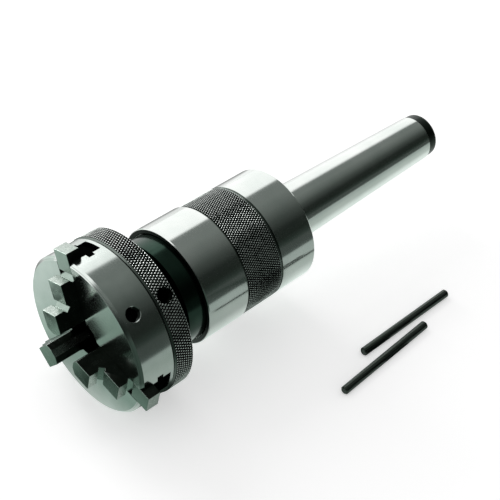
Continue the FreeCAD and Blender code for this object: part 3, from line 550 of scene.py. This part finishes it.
# %% Bearing steel and brass
INSIDE = {"lapped_chrome_bearing_steel": ("#d3d6d8", "#dee0e1", 0.06, 0.12, 0.0003, 0.25),
          "machined_brass": ("#c9a35a", "#dcbb72", 0.18, 0.30, 0.0015, 0.30)}
turned = []
for name, (darker, lighter, smooth, rough, depth_mm, spacing_mm) in INSIDE.items():
    material, tree = start_finish(name)
    here, x, radius = on_the_lathe(tree)
    marks = turning_marks(tree, x, radius, spacing_mm)
    colour = add(tree, "ShaderNodeValToRGB", {"Fac": marks}, stops=[(FAINT, darker), (STRONG, lighter)])
    roughness = add(tree, "ShaderNodeMapRange", {"Value": marks, "From Min": FAINT, "From Max": STRONG,
                                                 "To Min": smooth, "To Max": rough})
    lines = add(tree, "ShaderNodeBump", {"Height": marks, "Distance": depth_mm * MM})
    shader = add(tree, "ShaderNodeBsdfPrincipled", {
        "Base Color": colour, "Metallic": 1.0, "Roughness": roughness, "Normal": lines})
    add(tree, "ShaderNodeOutputMaterial", {"Surface": shader})
    turned.append(material)
bearing_steel, brass_cage = turned
print("made", bearing_steel.name, "and", brass_cage.name)

# %% [markdown]
# The circlips and the wave spring are spring steel under a grey phosphate skin, which is a fine
# crust of crystals that holds oil. The dust seal is moulded nitrile rubber: not a metal, nearly
# black, and slightly glossy where the mould was polished. Both are grainy rather than turned.

# %% Phosphated spring steel and nitrile rubber
spring_steel, tree = start_finish("phosphated_spring_steel")
here = add(tree, "ShaderNodeTexCoord").outputs["Object"]
crystals = add(tree, "ShaderNodeTexNoise", {"Vector": here, "Scale": 1 / (0.30 * MM), "Detail": 3.0})
colour = add(tree, "ShaderNodeValToRGB", {"Fac": crystals}, stops=[(FAINT, "#3d4140"), (STRONG, "#575c5a")])
crust = add(tree, "ShaderNodeBump", {"Height": crystals, "Distance": 0.004 * MM})
shader = add(tree, "ShaderNodeBsdfPrincipled", {
    "Base Color": colour, "Metallic": 1.0, "Roughness": 0.43, "Normal": crust})
add(tree, "ShaderNodeOutputMaterial", {"Surface": shader})

seal_rubber, tree = start_finish("moulded_nitrile_rubber")
here = add(tree, "ShaderNodeTexCoord").outputs["Object"]
grain = add(tree, "ShaderNodeTexNoise", {"Vector": here, "Scale": 1 / (0.40 * MM), "Detail": 3.0})
colour = add(tree, "ShaderNodeValToRGB", {"Fac": grain}, stops=[(FAINT, "#161716"), (STRONG, "#202221")])
bloom = add(tree, "ShaderNodeMapRange", {"Value": grain, "From Min": FAINT, "From Max": STRONG,
                                         "To Min": 0.48, "To Max": 0.62})
skin = add(tree, "ShaderNodeBump", {"Height": grain, "Distance": 0.006 * MM})
shader = add(tree, "ShaderNodeBsdfPrincipled", {
    "Base Color": colour, "Roughness": bloom, "IOR": 1.52, "Normal": skin})
add(tree, "ShaderNodeOutputMaterial", {"Surface": shader})
print("made", spring_steel.name, "and", seal_rubber.name)

# %% [markdown]
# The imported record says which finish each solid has, so the materials are handed out by slot.

# %% Hand out the finishes
FINISHES = {"ground_steel": ground_steel, "black_knurl": black_knurl, "spring_steel": spring_steel,
            "bearing_steel": bearing_steel, "brass_cage": brass_cage, "seal_rubber": seal_rubber,
            "black_steel": black_steel, "chuck_steel": chuck_steel, "ring_steel": ring_steel,
            "jaw_steel": jaw_steel, "bar_steel": bar_steel}
for subpart in frame["record"]["subparts"]:
    solid = solids[subpart["node"]]
    if not solid.material_slots:
        solid.data.materials.append(FINISHES[subpart["material_slot"]])
    for slot in solid.material_slots:
        slot.material = FINISHES[subpart["material_slot"]]

# %% [markdown]
# A real diamond knurl is two sets of grooves that cross at an angle, which leaves rows of little
# pyramids, staggered like bricks. A bump texture would fake the light but leave the outline
# smooth, so here each pyramid is modelled: four feet shared with its neighbours in the
# grooves, and a small flat crest that the rolling leaves unfinished. The ends are cut square,
# and walls go down from them, a quarter of a millimetre below the grooves, to close the shell.

# %% Knurl builder
GROOVE_ANGLE = math.radians(30)
CREST_FLAT = 0.32
SUNK = 0.25
ON_THE_CUT = 1e-4


def knurl(name, start, end, root, crest, around):
    """A closed shell of diamonds from x = start to end; lengths in mm, with `around` of them in a row."""
    pitch = 2 * math.pi * root / around
    step = pitch / math.tan(GROOVE_ANGLE) / 2
    rows = math.ceil((end - start) / step) + 2
    grid = bmesh.new()
    corners = {}

    def corner(row, half):
        half %= 2 * around
        if (row, half) not in corners:
            angle = math.pi * half / around
            corners[row, half] = grid.verts.new((start - step + row * step, root * math.cos(angle),
                                                 root * math.sin(angle)))
        return corners[row, half]

    for row in range(1, rows):
        for place in range(around):
            half = 2 * place + row % 2
            feet = [corner(row - 1, half), corner(row, half + 1), corner(row + 1, half),
                    corner(row, half - 1)]
            x_mid = start - step + row * step
            angle = math.pi * half / around
            tops = []
            for side_x, side_a in ((-1, 0), (0, 1), (1, 0), (0, -1)):
                a = angle + side_a * CREST_FLAT * math.pi / around
                tops.append(grid.verts.new((x_mid + side_x * CREST_FLAT * step, crest * math.cos(a),
                                            crest * math.sin(a))))
            grid.faces.new(tops)
            for i in range(4):
                grid.faces.new((feet[i], feet[(i + 1) % 4], tops[(i + 1) % 4], tops[i]))
    for x, way in ((start, -1), (end, 1)):
        everything = grid.verts[:] + grid.edges[:] + grid.faces[:]
        bmesh.ops.bisect_plane(grid, geom=everything, plane_co=(x, 0, 0), plane_no=(way, 0, 0),
                               clear_outer=True)
    for x in (start, end):
        rim = [e for e in grid.edges
               if e.is_boundary and all(abs(v.co.x - x) < ON_THE_CUT for v in e.verts)]
        wall = bmesh.ops.extrude_edge_only(grid, edges=rim)
        for v in (g for g in wall["geom"] if isinstance(g, bmesh.types.BMVert)):
            inward = (root - SUNK) / math.hypot(v.co.y, v.co.z)
            v.co = (x, v.co.y * inward, v.co.z * inward)
    bmesh.ops.bridge_loops(grid, edges=[e for e in grid.edges if e.is_boundary])
    bmesh.ops.recalc_face_normals(grid, faces=grid.faces)
    bmesh.ops.scale(grid, vec=(MM, MM, MM), verts=grid.verts)
    mesh = bpy.data.meshes.new(name)
    grid.to_mesh(mesh)
    grid.free()
    shell = bpy.data.objects.new(name, mesh)
    bpy.context.scene.collection.objects.link(shell)
    print(name, len(mesh.polygons), "faces, pitch", round(pitch, 2), "mm")
    return shell


# %% [markdown]
# The collar is the part a hand holds while the chuck turns, and the ring opens and closes the jaws.
# Both have a diamond about every millimetre.

# %% Knurls on the collar and the ring
COLLAR_DIAMONDS = 144
RING_DIAMONDS = 172

collar_knurl = knurl("collar_knurl", *COLLAR_KNURL, COLLAR_ROOT, COLLAR_CREST, COLLAR_DIAMONDS)
collar_knurl.data.materials.append(black_knurl)
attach(collar_knurl, "arbor")
ring_knurl = knurl("ring_knurl", *RING_KNURL, RING_ROOT, RING_CREST, RING_DIAMONDS)
ring_knurl.data.materials.append(ring_steel)

# %% [markdown]
# The ring's three tommy holes go through its knurl, so the same countersinks are cut out of it.

# %% Tommy holes through the knurl
RING_HOLE_X = 87.15
SINK_R = 3.05
CUTTER_LENGTH = 6.0
HOLE_ANGLES = (45, 165, 285)

for hole_deg in HOLE_ANGLES:
    cutter_grid = bmesh.new()
    bmesh.ops.create_cone(cutter_grid, cap_ends=True, segments=48, radius1=SINK_R * MM,
                          radius2=SINK_R * MM, depth=CUTTER_LENGTH * MM)
    out = Vector((0, math.cos(math.radians(hole_deg)), math.sin(math.radians(hole_deg))))
    aim = Vector((0, 0, 1)).rotation_difference(out).to_matrix().to_4x4()
    mouth = out * RING_ROOT * MM + Vector((RING_HOLE_X * MM, 0, 0))
    cutter_grid.transform(Matrix.Translation(mouth) @ aim)
    cutter_mesh = bpy.data.meshes.new("hole_cutter")
    cutter_grid.to_mesh(cutter_mesh)
    cutter_grid.free()
    cutter = bpy.data.objects.new("hole_cutter", cutter_mesh)
    bpy.context.scene.collection.objects.link(cutter)
    cut = ring_knurl.modifiers.new("hole", "BOOLEAN")
    cut.object = cutter
    cut.solver = "EXACT"
    bpy.context.view_layer.update()
    evaluated = ring_knurl.evaluated_get(bpy.context.evaluated_depsgraph_get())
    carved = bpy.data.meshes.new_from_object(evaluated)
    ring_knurl.modifiers.remove(cut)
    ring_knurl.data = carved
    bpy.data.objects.remove(cutter)
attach(ring_knurl, "scroll")
print("ring knurl has", len(ring_knurl.data.polygons), "faces after its holes")

# %% [markdown]
# No machined edge is truly sharp. A bevel of a fifth of a millimetre on the jaws catches a thin
# line of light along each edge, which is what reads as metal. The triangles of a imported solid
# are welded first, so that the bevel sees whole edges.

# %% Broken edges
JAWS = ("jaw_1", "jaw_2", "jaw_3")
WELD_WITHIN = 0.002 * MM
EDGE_BREAK = 0.22 * MM
SHARP = math.radians(40)

for name in JAWS:
    weld = solids[name].modifiers.new("weld", "WELD")
    weld.merge_threshold = WELD_WITHIN
    edge = solids[name].modifiers.new("edge_break", "BEVEL")
    edge.width = EDGE_BREAK
    edge.segments = 2
    edge.limit_method = "ANGLE"
    edge.angle_limit = SHARP
    edge.harden_normals = True
print("edges broken on", ", ".join(JAWS))

# %% [markdown]
# The last cell prints that the scene is ready.

# %% Finish
print("scene ready")
